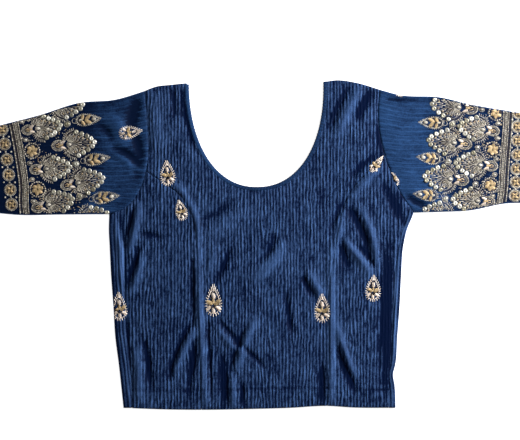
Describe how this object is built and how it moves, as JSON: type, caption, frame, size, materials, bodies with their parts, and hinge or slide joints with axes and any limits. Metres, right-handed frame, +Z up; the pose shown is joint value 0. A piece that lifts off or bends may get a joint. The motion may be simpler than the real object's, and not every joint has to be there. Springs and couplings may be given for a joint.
{
  "type": "choli blouse",
  "caption": "Fitted crinkled-cloth blouse laid flat: deep round neck, princess seams, elbow sleeves with embroidered borders.",
  "frame": {"origin": "middle of the outline on the surface that the blouse lies on", "axes": "+Z up from the surface, +Y towards the neck, +X along the sleeves, to the right as seen from above"},
  "size_m": [0.7479, 0.4277, 0.0097],
  "materials": {
    "crinkled_cloth": "matt navy crinkled cloth with a soft sheen along its ridges",
    "sleeve_cloth": "the same navy cloth with a shallower crinkle, under embroidery",
    "binding_cloth": "plain navy binding, pressed flat",
    "silver_thread": "silvery beige embroidery thread with a metallic glint",
    "cream_thread": "cream and pale gold embroidery thread, satin stitched",
    "sequins": "small round silver sequins, bright and slightly cupped"
  },
  "bodies": {
    "root": {"front_center": "crinkled_cloth", "front_side_left": "crinkled_cloth", "front_side_right": "crinkled_cloth", "back": "crinkled_cloth", "sleeve_left": "sleeve_cloth", "sleeve_right": "sleeve_cloth", "neck_binding_front": "binding_cloth", "neck_binding_back": "binding_cloth"}
  },
  "joints": []
}
